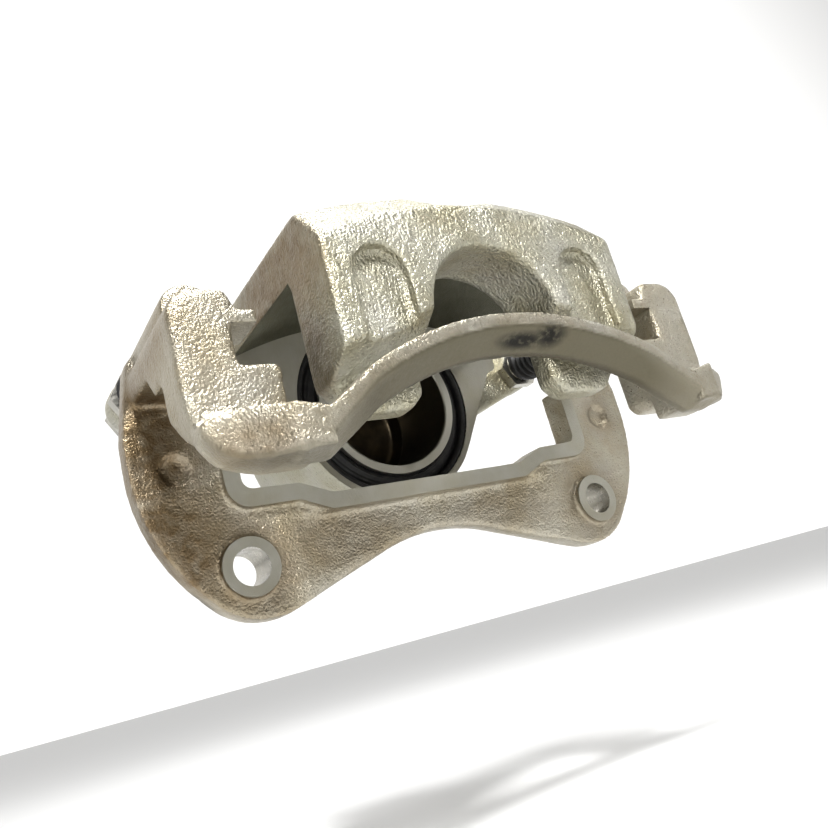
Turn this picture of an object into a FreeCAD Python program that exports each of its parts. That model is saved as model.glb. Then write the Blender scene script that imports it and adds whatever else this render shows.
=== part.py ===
import FreeCAD, Part
import math
import os
import Sketcher
from FreeCAD import Placement, Rotation, Vector

# Floating single-piston brake caliper on its anchor bracket.
# Frame: X is tangential to the rotor, +Y points inboard (towards the vehicle's centre line),
# +Z points radially outward. The origin is the middle of the two mounting bosses, on their
# machined faces. All sizes are millimetres, and the spreadsheet "Sizes" drives them.

SIZES = [
    # rotor the caliper is made for
    ("rotor_axis_drop", 58.0),
    ("rotor_gap_radius", 146.5),
    ("rotor_gap_outer", -33.0),
    ("rotor_gap_inner", -1.5),
    # anchor bracket: plate
    ("bolt_half_span", 75.0),
    ("bolt_hole_radius", 6.25),
    ("boss_radius", 9.7),
    ("boss_back_radius", 12.0),
    ("boss_back", 15.0),
    ("rim_face", 0.0),
    ("plate_face", 2.5),
    ("web_face", 4.7),
    ("plate_back", 12.0),
    ("plate_half_width", 106.8),
    ("waist_height", 1.0),
    ("window_floor", 19.6),
    ("land_floor", 13.9),
    ("dimple_half_span", 92.4),
    ("dimple_height", 35.0),
    ("dimple_radius", 5.4),
    ("dimple_depth", 1.9),
    # anchor bracket: arms, pad abutments and tie bar
    ("abutment_face", -50.0),
    ("rail_half_width", 72.5),
    ("rail_top", 48.5),
    ("notch_half_width", 84.5),
    ("notch_top", 61.5),
    ("tab_half_width", 76.5),
    ("tab_top", 65.4),
    ("arm_half_width", 102.5),
    ("arm_top", 72.5),
    ("abutment_bottom", 23.0),
    ("arm_floor", 57.6),
    ("bar_face", -70.0),
    ("bar_slope_end", -62.0),
    ("bar_back", -58.5),
    ("bar_crown", 52.3),
    ("bar_face_height", 5.2),
    ("bar_full_height", 11.0),
    ("foot_bottom", 17.0),
    ("foot_top", 28.0),
    ("foot_back", -46.0),
    # guide pins
    ("pin_half_span", 89.5),
    ("pin_height", 74.0),
    ("pin_boss_radius", 8.8),
    ("pin_boss_end", 15.0),
    ("pin_bore_radius", 5.55),
    ("pin_bore_end", -29.0),
    ("pin_radius", 5.5),
    ("pin_tip", -26.0),
    ("pin_flange_front", 38.0),
    ("pin_flange_back", 43.0),
    ("pin_hex_flats", 18.0),
    ("pin_tapped_radius", 4.05),
    ("pin_tapped_depth", 30.0),
    ("bush_radius", 5.5),
    ("bush_neck_radius", 4.2),
    ("bush_front", -21.0),
    ("bush_back", -9.0),
    ("boot_radius", 9.0),
    ("pin_bolt_radius", 4.0),
    ("pin_bolt_reach", 24.0),
    ("pin_bolt_hex_flats", 14.0),
    # housing
    ("piston_height", 55.6),
    ("leg_face", -64.0),
    ("leg_shoulder", -52.0),
    ("finger_face", -49.0),
    ("finger_inner", -39.0),
    ("leg_top_radius", 151.5),
    ("slot_radius", 149.0),
    ("housing_half_width", 59.5),
    ("bridge_side_height", 95.5),
    ("bridge_crown", 103.4),
    ("bridge_dip", 101.6),
    ("window_radius", 24.4),
    ("window_height", 55.0),
    ("window_front", -66.0),
    ("window_back", -38.0),
    ("relief_centre", 40.2),
    ("relief_half_width", 9.3),
    ("relief_top", 79.0),
    ("relief_floor", -60.4),
    ("flange_face", 19.0),
    ("flange_back", 31.0),
    ("flange_radius", 40.0),
    ("bridge_back", 40.0),
    ("cylinder_radius", 38.5),
    ("cylinder_back", 78.0),
    ("bore_radius", 30.2),
    ("bore_end", 70.0),
    ("boot_seat_radius", 37.5),
    ("boot_seat_depth", 24.0),
    ("seal_front", 34.0),
    ("seal_back", 38.0),
    ("seal_groove_radius", 33.6),
    ("lug_front", 43.0),
    ("lug_back", 55.0),
    ("lug_radius", 9.5),
    ("lug_hole_radius", 4.3),
    ("port_offset", 20.0),
    ("port_height", 70.0),
    ("port_boss_radius", 10.0),
    ("port_face", 82.0),
    ("port_radius", 4.5),
    ("port_depth", 12.0),
    # piston
    ("piston_radius", 30.15),
    ("piston_face", 17.0),
    ("piston_back", 67.0),
    ("piston_cup_radius", 25.9),
    ("piston_cup_end", 60.0),
    ("piston_groove_radius", 28.4),
    # bleeder
    ("bleeder_offset", 18.0),
    ("bleeder_station", 60.0),
    ("bleeder_boss_radius", 8.0),
    ("bleeder_boss_top", 99.0),
    ("bleeder_seat", 83.0),
    ("bleeder_thread_radius", 4.95),
    ("bleeder_hole_radius", 5.0),
    ("bleeder_hex_flats", 10.0),
    ("bleeder_hex_start", 17.6),
    ("bleeder_hex_height", 5.0),
    ("bleeder_drilling_radius", 1.0),
    ("bleeder_drilling_start", 8.0),
    ("nipple_radius", 3.1),
]

document = FreeCAD.newDocument("BrakeCaliper")
sheet = document.addObject("Spreadsheet::Sheet", "Sizes")
for row, (alias, value) in enumerate(SIZES, start=1):
    sheet.set(f"A{row}", alias)
    sheet.set(f"B{row}", str(value))
    sheet.setAlias(f"B{row}", alias)
document.recompute()
size = {alias: float(sheet.get(alias)) for alias, value in SIZES}


# ---- helpers: outlines ----

def corner(before, point, after, radius):
    """Tangent arc of one rounded corner: its start, middle and end."""
    arm_in = (Vector(*before) - Vector(*point)).normalize()
    arm_out = (Vector(*after) - Vector(*point)).normalize()
    half = arm_in.getAngle(arm_out) / 2
    reach = radius / math.tan(half)
    middle = (arm_in + arm_out).normalize()
    centre = Vector(*point) + middle * (radius / math.sin(half))
    return Vector(*point) + arm_in * reach, centre - middle * radius, Vector(*point) + arm_out * reach


def outline(*items):
    """Closed loop of lines and arcs.

    An item is a corner (x, y), a rounded corner (x, y, radius), or ("via", x, y), the point
    that an arc between its two neighbours goes through.
    """
    points = [item for item in items if item[0] != "via"]
    arcs = {}
    for index, item in enumerate(items):
        if item[0] == "via":
            arcs[items[index - 1]] = Vector(item[1], item[2], 0)
    starts = []
    ends = []
    rounds = []
    for index, point in enumerate(points):
        place = (point[0], point[1], 0)
        if len(point) == 2:
            starts.append(Vector(*place))
            ends.append(Vector(*place))
            continue
        before = points[index - 1]
        after = points[(index + 1) % len(points)]
        start, middle, end = corner((before[0], before[1], 0), place, (after[0], after[1], 0), point[2])
        starts.append(start)
        ends.append(end)
        rounds.append(Part.Arc(start, middle, end))
    loop = list(rounds)
    for index, point in enumerate(points):
        start = ends[index]
        end = starts[(index + 1) % len(points)]
        if point in arcs:
            loop.append(Part.Arc(start, arcs[point], end))
        elif start.distanceToPoint(end) > 1e-6:
            loop.append(Part.LineSegment(start, end))
    return loop


def flipped(items):
    """The mirror image of outline items about the vertical axis, in running order."""
    turned = []
    for item in reversed(items):
        if item[0] == "via":
            turned.append(("via", -item[1], item[2]))
        else:
            turned.append((-item[0],) + tuple(item[1:]))
    return turned


def both_sides(right):
    """A whole outline from its right half, listed from the bottom to the top."""
    return outline(*right, *flipped(right))


def on_side(side, items):
    """Outline items moved to one side: side is 1 for right and -1 for left."""
    return items if side > 0 else flipped(items)


def circle(x, y, radius):
    return [Part.Circle(Vector(x, y, 0), Vector(0, 0, 1), radius)]


def hexagon(across_flats):
    reach = across_flats / math.sqrt(3)
    return outline(*[(reach * math.cos(math.radians(60 * k)), reach * math.sin(math.radians(60 * k)))
                     for k in range(6)])


# ---- helpers: bodies and features ----

def new_body(label):
    body = document.addObject("PartDesign::Body", label)
    body.Label = label
    return body


def sketch_on(body, plane, loop, station=None):
    """Sketch on one of the body's origin planes, moved to a station along the plane's normal."""
    sketch = body.newObject("Sketcher::SketchObject", "Sketch")
    support = [item for item in body.Origin.OriginFeatures if item.Role == plane][0]
    sketch.AttachmentSupport = [(support, "")]
    sketch.MapMode = "FlatFace"
    if station:
        sketch.setExpression(".AttachmentOffset.Base.z", station)
    for item in loop:
        sketch.addGeometry(item, False)
    return sketch


def bind_circle(sketch, across, up, radius):
    """Hold a sketch's only circle to the sheet by its centre and radius."""
    sketch.addConstraint(Sketcher.Constraint("Radius", 0, size[radius]))
    sketch.setExpression("Constraints[0]", f"Sizes.{radius}")
    for kind, alias in (("DistanceX", across), ("DistanceY", up)):
        if alias:
            sign = -1 if alias.startswith("-") else 1
            name = alias.lstrip("-")
            index = sketch.addConstraint(Sketcher.Constraint(kind, -1, 1, 0, 3, sign * size[name]))
            sketch.setExpression(f"Constraints[{index}]", f"{'-' if sign < 0 else ''}Sizes.{name}")


def slab(body, loop, front, back):
    """Pad an XZ outline from one Y station to another."""
    sketch = sketch_on(body, "XZ_Plane", loop, f"-Sizes.{front}")
    pad = body.newObject("PartDesign::Pad", "Slab")
    pad.Profile = sketch
    pad.Reversed = True
    pad.setExpression("Length", f"Sizes.{back} - Sizes.{front}")
    document.recompute()
    return sketch


def cut_slab(body, loop, front, back):
    """Pocket an XZ outline from one Y station to another."""
    volume = body.Shape.Volume
    sketch = sketch_on(body, "XZ_Plane", loop, f"-Sizes.{front}")
    pocket = body.newObject("PartDesign::Pocket", "Cut")
    pocket.Profile = sketch
    pocket.setExpression("Length", f"Sizes.{back} - Sizes.{front}")
    document.recompute()
    if body.Shape.Volume >= volume:
        raise RuntimeError(f"a cut in {body.Label} removed nothing")
    return sketch


def round_slab(body, across, up, radius, front, back):
    sketch = slab(body, circle(signed(across), signed(up), size[radius]), front, back)
    bind_circle(sketch, across, up, radius)
    document.recompute()


def round_cut(body, across, up, radius, front, back):
    sketch = cut_slab(body, circle(signed(across), signed(up), size[radius]), front, back)
    bind_circle(sketch, across, up, radius)
    document.recompute()


def signed(alias):
    """The value of a cell, negated when its alias is written with a minus sign."""
    if not alias:
        return 0.0
    return -size[alias[1:]] if alias.startswith("-") else size[alias]


def across_prism(body, kind, loop, middle, width):
    """Pad or pocket a YZ outline along X, centred on a place, by a width."""
    sketch = sketch_on(body, "YZ_Plane", loop)
    sketch.AttachmentOffset = Placement(Vector(0, 0, middle), Rotation())
    feature = body.newObject(kind, "Prism")
    feature.Profile = sketch
    feature.Midplane = True
    feature.Length = width
    document.recompute()


def loft(body, first, first_station, second, second_station):
    """Additive loft between two XZ outlines at two Y stations."""
    base = sketch_on(body, "XZ_Plane", first, f"-Sizes.{first_station}")
    top = sketch_on(body, "XZ_Plane", second, f"-Sizes.{second_station}")
    feature = body.newObject("PartDesign::AdditiveLoft", "Loft")
    feature.Profile = base
    feature.Sections = [top]
    feature.Ruled = True
    document.recompute()


def turned(body, loop):
    """Full revolution of an XZ profile about the body's own Z axis."""
    sketch = sketch_on(body, "XZ_Plane", loop)
    feature = body.newObject("PartDesign::Revolution", "Turned")
    feature.Profile = sketch
    feature.ReferenceAxis = (sketch, ["V_Axis"])
    feature.Angle = 360
    document.recompute()


def put(body, across, station, up, rotation=Rotation()):
    """Place a body by expressions, for the positions that the sheet drives."""
    body.Placement = Placement(Vector(0, 0, 0), rotation)
    for axis, expression in (("x", across), ("y", station), ("z", up)):
        if expression:
            body.setExpression(f".Placement.Base.{axis}", expression)
    document.recompute()


# local +Z of a turned piece laid along -Y (outboard)
OUTBOARD = Rotation(Vector(1, 0, 0), 90)
# local +Z laid along +Y (inboard)
INBOARD = Rotation(Vector(1, 0, 0), -90)


# ---- anchor bracket ----

def window_edge():
    """Right half of the bracket window's lower edge, from the middle out to the rail's top."""
    rail = size["rail_half_width"]
    floor = size["window_floor"]
    return [(rail, size["rail_top"]), (rail, 25.0, 3.5), (52.6, 24.5, 4.0), (41.0, floor, 6.0),
            (0.0, floor)]


def arch_height(x, crown, reach, end):
    """Height at x of the arch through (0, crown) and (reach, end)."""
    fall = crown - end
    radius = (reach ** 2 + fall ** 2) / (2 * fall)
    return crown - radius + math.sqrt(radius ** 2 - x ** 2)


def build_bracket():
    """The bracket's right half, mirrored about the middle plane X = 0 and joined."""
    half = new_body("bracket_half")
    rail = size["rail_half_width"]
    notch = size["notch_half_width"]
    tab = size["tab_half_width"]
    arm = size["arm_half_width"]
    arm_top = size["arm_top"]
    floor = size["arm_floor"]

    # half of the U-shaped plate: waisted lower edge, bolt lobe, and a column up to the guide pin
    waist = size["waist_height"]
    widest = size["plate_half_width"]
    plate = [(0.0, waist), ("via", 13.0, arch_height(13.0, waist, 26.0, -3.8)), (26.0, -3.8), (62.7, -16.2),
             ("via", 71.5, -17.2), (88.7, -8.2), ("via", 101.4, 10.5), (widest, 34.0), (widest, 46.0, 12.0),
             (101.5, 74.0, 8.0), (90.0, 80.0, 6.0), (82.5, 74.0, 3.0), (82.5, size["tab_top"], 1.5),
             (tab, size["tab_top"]), (tab, size["notch_top"]), (notch, size["notch_top"], 1.0),
             (notch, size["rail_top"], 1.0)]
    slab(half, outline(*plate, *window_edge()), "plate_face", "plate_back")

    # machined land along the window, standing proud of the cast face
    land_floor = size["land_floor"]
    land = [(0.0, land_floor), (42.4, land_floor, 6.0), (53.6, 18.9, 5.0), (78.2, 18.9, 8.0),
            (78.2, size["rail_top"])]
    slab(half, outline(*land, *window_edge()), "rim_face", "plate_face")

    # waist beside the lobe is cast a little deeper
    shallow = outline((-1.0, size["web_face"]), (46.0, size["web_face"]), (56.0, size["plate_face"]),
                      (56.0, -5.0), (-1.0, -5.0))
    below_plate = 30.0
    web = half.newObject("PartDesign::Pocket", "Waist")
    web.Profile = sketch_on(half, "XY_Plane", shallow, f"{-below_plate} mm")
    web.Reversed = True
    web.setExpression("Length", f"{below_plate} mm + Sizes.land_floor * 1 mm - 0.2 mm")
    document.recompute()

    # arm over the rotor, then the pad abutment at its outboard end
    section = [(notch, 57.0), (arm, 50.0), (arm, arm_top, 9.0), (83.0, arm_top, 3.0)]
    slab(half, outline(*section), "abutment_face", "plate_face")
    bottom = size["abutment_bottom"]
    block = [(76.0, bottom, 2.0), (94.0, bottom, 6.0), (101.0, 31.0, 8.0), (arm, 40.0), (arm, arm_top, 9.0),
             (82.5, 71.5, 4.0), (82.5, size["tab_top"], 1.5), (tab, size["tab_top"]),
             (tab, size["notch_top"]), (notch, size["notch_top"], 1.0), (notch, size["rail_top"], 1.0),
             (rail, size["rail_top"], 2.0), (rail, 26.0)]
    slab(half, outline(*block), "abutment_face", "rotor_gap_outer")
    # the arm's lower edge climbs from the abutment's foot over the rotor
    climb = outline((-45.5, 10.0), (-45.5, 22.0), (-18.0, floor), (2.0, floor), (2.0, 10.0))
    across_prism(half, "PartDesign::Pocket", climb, 99.0, 18.0)
    round_slab(half, "pin_half_span", "pin_height", "pin_boss_radius", "rotor_gap_outer", "pin_boss_end")

    # room for the rotor between the outboard and inboard halves
    gap = circle(0, -size["rotor_axis_drop"], size["rotor_gap_radius"])
    cut_slab(half, gap, "rotor_gap_outer", "rotor_gap_inner")

    # foot that carries the tie bar's end back to the abutment, with a ramp above it
    bottom = size["foot_bottom"]
    top = size["foot_top"]
    heel = [(71.0, bottom), (86.0, bottom), (96.5, bottom + 3.0, 8.0), (101.5, top - 1.0, 5.0),
            (101.5, top + 3.0, 2.0), (90.0, top + 4.5), (71.0, top)]
    slab(half, outline(*heel), "bar_face", "foot_back")
    slant = outline((80.0, -72.0), (80.0, size["bar_face"]), (92.5, -60.0), (103.0, -55.5), (103.0, -72.0))
    trim = half.newObject("PartDesign::Pocket", "FootTrim")
    trim.Profile = sketch_on(half, "XY_Plane", slant, "50 mm")
    trim.Length = 60
    document.recompute()
    ramp = outline((-48.0, 24.0), (-56.0, 24.0), (-56.0, 29.5), (-48.0, 36.5))
    across_prism(half, "PartDesign::Pad", ramp, 87.0, 20.4)

    # arched tie bar: narrow outboard face, then an underside that slopes down to its full height
    crown = size["bar_crown"]
    face_crown = crown - size["bar_face_height"]
    full_crown = crown - size["bar_full_height"]
    top = [(80.0, 25.0), (73.0, 26.0), (55.0, 38.4), ("via", 28.0, arch_height(28.0, crown, 55.0, 38.4)),
           (0.0, crown)]
    face = [(0.0, face_crown), ("via", 28.0, arch_height(28.0, face_crown, 55.0, 33.0)), (55.0, 33.0),
            (74.0, 18.3), (80.0, 16.5)]
    full = [(0.0, full_crown), ("via", 28.0, arch_height(28.0, full_crown, 51.0, 28.8)), (51.0, 28.8),
            (70.0, 15.6), (80.0, 15.2)]
    loft(half, outline(*face, *top), "bar_face", outline(*full, *top), "bar_slope_end")
    slab(half, outline(*full, *top), "bar_slope_end", "bar_back")

    round_slab(half, "bolt_half_span", "", "boss_radius", "rim_face", "plate_face")
    round_slab(half, "bolt_half_span", "", "boss_back_radius", "plate_back", "boss_back")
    round_cut(half, "bolt_half_span", "", "bolt_hole_radius", "rim_face", "boss_back")
    round_cut(half, "pin_half_span", "pin_height", "pin_bore_radius", "pin_bore_end", "pin_boss_end")
    dimple = circle(size["dimple_half_span"], size["dimple_height"], size["dimple_radius"])
    dent = half.newObject("PartDesign::Pocket", "Dimple")
    dent.Profile = sketch_on(half, "XZ_Plane", dimple, "-Sizes.plate_face")
    dent.setExpression("Length", "Sizes.dimple_depth")
    dent.TaperAngle = -40
    document.recompute()

    other = document.addObject("Part::Mirroring", "BracketMirror")
    other.Source = half
    other.Normal = Vector(1, 0, 0)
    bracket = document.addObject("Part::MultiFuse", "anchor_bracket")
    bracket.Label = "anchor_bracket"
    bracket.Shapes = [half, other]
    bracket.Refine = False
    document.recompute()
    return bracket


# ---- housing ----

def build_housing():
    housing = new_body("caliper_housing")
    half = size["housing_half_width"]
    drop = size["rotor_axis_drop"]

    def leg_top(x):
        return math.sqrt(size["leg_top_radius"] ** 2 - x ** 2) - drop

    # outboard leg: its face is narrow at the top, and its lower edge slopes back
    half_face = half - 1.0
    face_right = [(22.0, 58.6), (half_face, 47.0), (half_face, leg_top(half_face)),
                  ("via", 40.0, leg_top(40.0)), (17.0, leg_top(17.0))]
    face = outline(*face_right, ("via", 0.0, leg_top(0.0)), *flipped(face_right))
    back_right = [(22.0, 51.6), (half, 40.0), (half, size["bridge_side_height"]), ("via", 40.0, 100.2),
                  (17.0, size["bridge_crown"])]
    back = outline(*back_right, ("via", 0.0, size["bridge_dip"]), *flipped(back_right))
    loft(housing, face, "leg_face", back, "leg_shoulder")
    slab(housing, back, "leg_shoulder", "finger_inner")
    for side in (1, -1):
        finger = [(26.5, 62.0), (26.5, 36.0, 4.0), (32.0, 31.0, 4.0), (50.0, 31.0, 5.0),
                  (57.0, 39.0, 5.0), (half, 46.0), (half, 62.0)]
        slab(housing, outline(*on_side(side, finger)), "finger_face", "finger_inner")

    # bridge over the rotor, thinned from below by the rotor's clearance
    bridge_right = [(half, 66.0), (half, size["bridge_side_height"]), ("via", 40.0, 100.2),
                    (17.0, size["bridge_crown"])]
    bridge = outline(*bridge_right, ("via", 0.0, size["bridge_dip"]), *flipped(bridge_right))
    slab(housing, bridge, "finger_inner", "flange_face")
    rear_right = [(46.0, 66.0), (46.0, 84.0), ("via", 32.0, 91.5), (14.0, 95.5)]
    rear = outline(*rear_right, ("via", 0.0, 96.2), *flipped(rear_right))
    loft(housing, bridge, "flange_face", rear, "bridge_back")

    # inboard leg: V-shaped flange and cylinder
    centre = size["piston_height"]
    flange_right = [(33.4, 33.6), (58.0, 71.0), (half, 74.0), (half, 80.0)]
    lowest = ("via", 0.0, centre - size["flange_radius"])
    flange = outline(*flipped(flange_right), lowest, *flange_right)
    slab(housing, flange, "flange_face", "flange_back")
    round_slab(housing, "", "piston_height", "cylinder_radius", "flange_face", "cylinder_back")
    end = size["lug_radius"]
    up = size["pin_height"]
    across = size["pin_half_span"]
    lug_right = [(34.0, 44.0), (across, up - end), ("via", across + end, up), (across, up + end),
                 (34.0, 88.0)]
    slab(housing, both_sides(lug_right), "lug_front", "lug_back")
    round_slab(housing, "port_offset", "port_height", "port_boss_radius", "bore_end", "port_face")

    # bleeder boss on top of the cylinder
    boss = circle(-size["bleeder_offset"], size["bleeder_station"], size["bleeder_boss_radius"])
    pad = housing.newObject("PartDesign::Pad", "BleederBoss")
    pad.Profile = sketch_on(housing, "XY_Plane", boss, "Sizes.bleeder_seat")
    pad.setExpression("Length", "Sizes.bleeder_boss_top - Sizes.bleeder_seat")
    document.recompute()

    # cuts
    cut_slab(housing, circle(0, -drop, size["slot_radius"]), "finger_inner", "flange_face")
    round_cut(housing, "", "window_height", "window_radius", "window_front", "window_back")
    reach = size["relief_half_width"]
    shoulder = size["relief_top"] - reach
    relief_foot = 40.0
    for middle in (size["relief_centre"], -size["relief_centre"]):
        pocket = [(middle - reach, relief_foot), (middle + reach, relief_foot), (middle + reach, shoulder),
                  ("via", middle, size["relief_top"]), (middle - reach, shoulder)]
        cut_slab(housing, outline(*pocket), "leg_face", "relief_floor")
    round_cut(housing, "", "piston_height", "bore_radius", "flange_face", "bore_end")
    round_cut(housing, "", "piston_height", "boot_seat_radius", "flange_face", "boot_seat_depth")
    round_cut(housing, "", "piston_height", "seal_groove_radius", "seal_front", "seal_back")
    for mark in ("", "-"):
        round_cut(housing, mark + "pin_half_span", "pin_height", "lug_hole_radius", "lug_front", "lug_back")
    # hose port, drilled from its machined face through into the end of the bore
    hole = circle(size["port_offset"], size["port_height"], size["port_radius"])
    port = housing.newObject("PartDesign::Pocket", "HosePort")
    port.Profile = sketch_on(housing, "XZ_Plane", hole, "-Sizes.port_face")
    port.Reversed = True
    port.setExpression("Length", "Sizes.port_depth")
    document.recompute()
    # bleeder hole, blind above the bore
    well = circle(-size["bleeder_offset"], size["bleeder_station"], size["bleeder_hole_radius"])
    drill = housing.newObject("PartDesign::Pocket", "BleederHole")
    drill.Profile = sketch_on(housing, "XY_Plane", well, "Sizes.bleeder_boss_top")
    drill.setExpression("Length", "Sizes.bleeder_boss_top - Sizes.bleeder_seat")
    document.recompute()
    return housing


# ---- piston, seal and dust boot ----

def build_piston():
    """Deep-drawn steel cup, open towards the pad. Local Z runs from its face to its back."""
    piston = new_body("piston")
    length = size["piston_back"] - size["piston_face"]
    cup = size["piston_cup_end"] - size["piston_face"]
    outer = size["piston_radius"]
    inner = size["piston_cup_radius"]
    groove = size["piston_groove_radius"]
    turned(piston, outline((0, length), (0, cup), (inner - 3.0, cup, 3.0), (inner, cup - 6.0),
                           (inner, 0.0, 0.8), (outer - 0.6, 0.0), (outer - 0.6, 2.4), (groove, 3.0),
                           (groove, 6.0), (outer, 6.6), (outer, length, 2.0)))
    put(piston, "", "Sizes.piston_face", "Sizes.piston_height", INBOARD)
    return piston


def build_seal():
    """Square-section ring that sits in the bore's groove and rolls the piston back."""
    seal = new_body("piston_seal")
    width = size["seal_back"] - size["seal_front"] - 0.4
    inner = size["piston_radius"] + 0.03
    outer = size["seal_groove_radius"] - 0.05
    turned(seal, outline((inner, 0), (outer, 0), (outer, width), (inner, width)))
    put(seal, "", "Sizes.seal_front + 0.2", "Sizes.piston_height", INBOARD)
    return seal


def build_piston_boot():
    """Bellows between the bore's counterbore and the piston's groove."""
    boot = new_body("piston_boot")
    seat = size["boot_seat_radius"] - 0.05
    lip = size["piston_groove_radius"] + 0.05
    turned(boot, outline((seat, 0.3), (seat, 4.6), (seat - 2.2, 4.6), (seat - 2.2, 1.8), (34.0, 1.8),
                         (33.4, 3.4), (31.6, 3.4), (31.0, 2.7), (lip, 2.7), (lip, 1.2), (31.6, 1.2),
                         (32.2, 2.2), (33.0, 2.2), (33.6, 0.3)))
    put(boot, "", "Sizes.flange_face", "Sizes.piston_height", INBOARD)
    return boot


# ---- guide pins ----

def build_pin(name, across, has_bush):
    """Guide pin: hexagon against the lug, and a shaft that slides in the bracket's bore.

    Local Z runs from the lug face outboard to the pin's tip.
    """
    pin = new_body(name)
    radius = size["pin_radius"]
    flange = size["pin_flange_back"] - size["pin_flange_front"]
    tip = size["pin_flange_back"] - size["pin_tip"]
    collar = 6.6
    relief = 4.6
    profile = [(0, 0), (collar, 0), (collar, flange + 0.8, 0.4), (relief, flange + 0.8),
               (relief, flange + 3.6), (radius, flange + 3.6)]
    if has_bush:
        neck = size["bush_neck_radius"]
        start = size["pin_flange_back"] - size["bush_back"]
        stop = size["pin_flange_back"] - size["bush_front"]
        profile += [(radius, start), (neck, start), (neck, stop), (radius, stop)]
    profile += [(radius, tip - 1.5), (radius - 1.5, tip), (0, tip)]
    turned(pin, outline(*profile))
    hexagonal = sketch_on(pin, "XY_Plane", hexagon(size["pin_hex_flats"]))
    pad = pin.newObject("PartDesign::Pad", "Hexagon")
    pad.Profile = hexagonal
    pad.setExpression("Length", "Sizes.pin_flange_back - Sizes.pin_flange_front")
    tapped = sketch_on(pin, "XY_Plane", circle(0, 0, size["pin_tapped_radius"]))
    bind_circle(tapped, "", "", "pin_tapped_radius")
    hole = pin.newObject("PartDesign::Pocket", "Tapped")
    hole.Profile = tapped
    hole.Reversed = True
    hole.setExpression("Length", "Sizes.pin_tapped_depth")
    document.recompute()
    put(pin, across, "Sizes.pin_flange_back", "Sizes.pin_height", OUTBOARD)
    return pin


def build_bush():
    """Rubber damping bush in the neck of the right-hand pin."""
    bush = new_body("guide_pin_bush")
    length = size["bush_back"] - size["bush_front"] - 0.2
    turned(bush, outline((size["bush_neck_radius"] + 0.05, 0), (size["bush_radius"], 0),
                         (size["bush_radius"], length), (size["bush_neck_radius"] + 0.05, length)))
    put(bush, "Sizes.pin_half_span", "Sizes.bush_front + 0.1", "Sizes.pin_height", INBOARD)
    return bush


def build_pin_boot(name, across):
    """Bellows between the bracket's boss and the collar of the guide pin."""
    boot = new_body(name)
    length = size["pin_flange_front"] - size["pin_boss_end"]
    ridge = size["boot_radius"]
    valley = ridge - 1.7
    inner = size["pin_radius"] + 0.6
    first = 0.3
    last = length - 1.1
    folds = 3
    pitch = (last - first - 5.0) / folds
    profile = [(inner, first), (ridge - 1.0, first), (ridge - 1.0, first + 3.0), (valley, first + 3.6)]
    for fold in range(folds):
        start = first + 3.6 + fold * pitch
        profile += [(ridge, start + pitch * 0.45), (valley, start + pitch * 0.95)]
    profile += [(valley, last), (inner, last)]
    turned(boot, outline(*profile))
    put(boot, across, "Sizes.pin_boss_end", "Sizes.pin_height", INBOARD)
    return boot


def build_pin_bolt(name, across):
    """Flanged hexagon bolt that holds the pin to the housing lug."""
    bolt = new_body(name)
    radius = size["pin_bolt_radius"]
    shank = size["lug_back"] - size["pin_flange_back"] + size["pin_bolt_reach"]
    turned(bolt, outline((0, -7.8), (6.2, -7.8), (6.6, -7.2), (6.6, -1.8), (8.6, -1.4), (8.6, 0),
                         (radius, 0), (radius, shank - 1), (radius - 1, shank), (0, shank)))
    head = sketch_on(bolt, "XY_Plane", hexagon(size["pin_bolt_hex_flats"]))
    pad = bolt.newObject("PartDesign::Pad", "Head")
    pad.Profile = head
    pad.Length = 7.2
    pad.Reversed = True
    document.recompute()
    put(bolt, across, "Sizes.lug_back", "Sizes.pin_height", OUTBOARD)
    return bolt


# ---- bleeder ----

def build_bleeder():
    """Bleeder screw: conical seat, thread, hexagon and barbed nipple. Local Z is up."""
    screw = new_body("bleeder_screw")
    thread = size["bleeder_thread_radius"]
    nipple = size["nipple_radius"]
    drilling = size["bleeder_drilling_radius"]
    start = size["bleeder_drilling_start"]
    boss = size["bleeder_boss_top"] - size["bleeder_seat"]
    turned(screw, outline((0, 0.4), (2.0, 0.4), (thread - 1.0, 3.0), (thread, 4.0), (thread, boss - 1.0),
                          (4.0, boss - 0.4), (4.0, boss + 1.0), (4.6, boss + 1.4), (4.6, boss + 6.6),
                          (nipple - 0.4, boss + 7.6), (nipple - 0.4, boss + 11.0),
                          (nipple + 0.6, boss + 11.6), (nipple - 0.4, boss + 14.0), (nipple - 0.4, boss + 15.0),
                          (drilling, boss + 15.0), (drilling, start), (0, start)))
    hexagonal = sketch_on(screw, "XY_Plane", hexagon(size["bleeder_hex_flats"]), "Sizes.bleeder_hex_start")
    pad = screw.newObject("PartDesign::Pad", "Hexagon")
    pad.Profile = hexagonal
    pad.setExpression("Length", "Sizes.bleeder_hex_height")
    bore = sketch_on(screw, "XY_Plane", circle(0, 0, drilling), "Sizes.bleeder_drilling_start")
    drill = screw.newObject("PartDesign::Pocket", "Bore")
    drill.Profile = bore
    drill.Reversed = True
    drill.Length = 40
    document.recompute()
    put(screw, "-Sizes.bleeder_offset", "Sizes.bleeder_station", "Sizes.bleeder_seat")
    return screw


def build_cap():
    """Rubber cap over the bleeder's nipple."""
    cap = new_body("bleeder_cap")
    inner = size["nipple_radius"] + 0.7
    outer = inner + 1.7
    turned(cap, outline((inner, 0), (outer, 0), (outer, 1.6), (outer - 0.5, 2.2), (outer - 0.5, 8.6, 1.2),
                        (2.0, 9.8), (0, 9.8), (0, 8.0), (inner, 8.0)))
    put(cap, "-Sizes.bleeder_offset", "Sizes.bleeder_station", "Sizes.bleeder_boss_top + 7.9")
    return cap


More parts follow.
